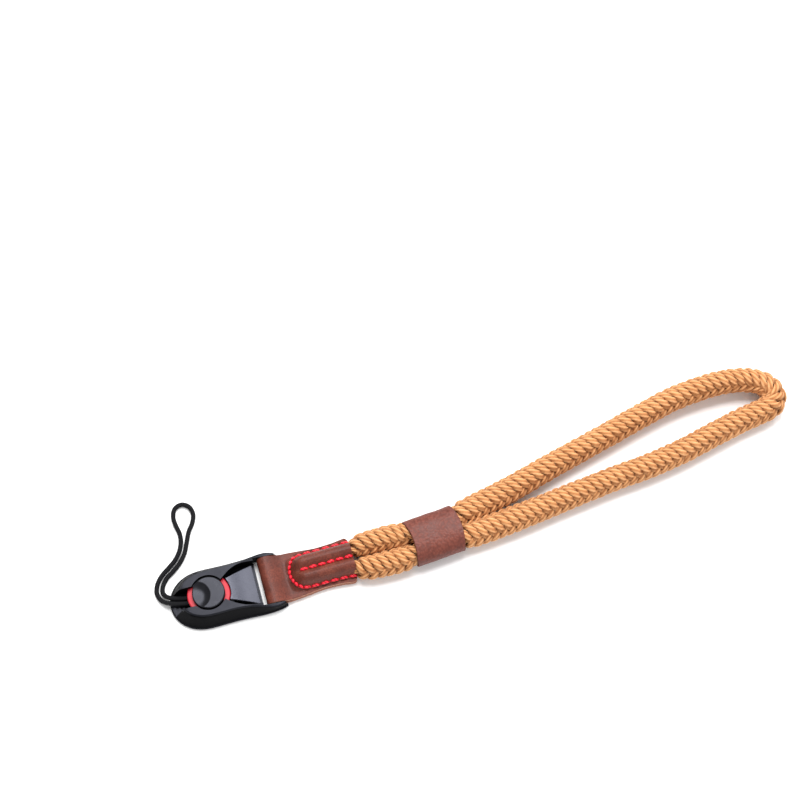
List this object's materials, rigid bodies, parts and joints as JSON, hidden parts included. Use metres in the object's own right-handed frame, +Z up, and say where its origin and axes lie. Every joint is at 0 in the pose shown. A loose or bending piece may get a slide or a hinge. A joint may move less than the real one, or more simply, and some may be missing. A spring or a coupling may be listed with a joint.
{
  "type": "camera wrist strap",
  "caption": "Wrist strap with a braided rope loop, leather keeper and stitched leather tab, pinned to a low black quick-release housing that holds a round cord anchor with a thin loop.",
  "frame": {"origin": "On the housing's flat underside, straight below the centre of the anchor's round seat.", "axes": "+X runs along the housing from its cord end towards the rope loop, +Z is up from the surface that the strap lies on, and +Y is the side where the anchor cord lies."},
  "size_m": [0.2876, 0.0581, 0.0133],
  "materials": {
    "black_plastic": "satin moulded black plastic",
    "pin_steel": "plain steel pin",
    "red_plastic": "satin red plastic",
    "black_cord": "tight woven black cord",
    "brown_leather": "reddish brown leather with fine grain",
    "cotton_rope": "tan braided cotton"
  },
  "bodies": {
    "strap": {"leather_tab": "brown_leather", "keeper_sleeve": "brown_leather", "wrist_rope": "cotton_rope"},
    "housing": {"quick_release_housing": "black_plastic", "locking_ramp": "black_plastic", "strap_pin": "pin_steel", "anchor_cap": "black_plastic", "anchor_flange": "red_plastic", "anchor_cord": "black_cord"}
  },
  "joints": [
    {"name": "housing_swing", "type": "hinge", "parent": "strap", "child": "housing", "pos_m": [0.0262, 0, 0.0033], "axis": [0, 1, 0], "range_deg": [-85, 85]}
  ]
}
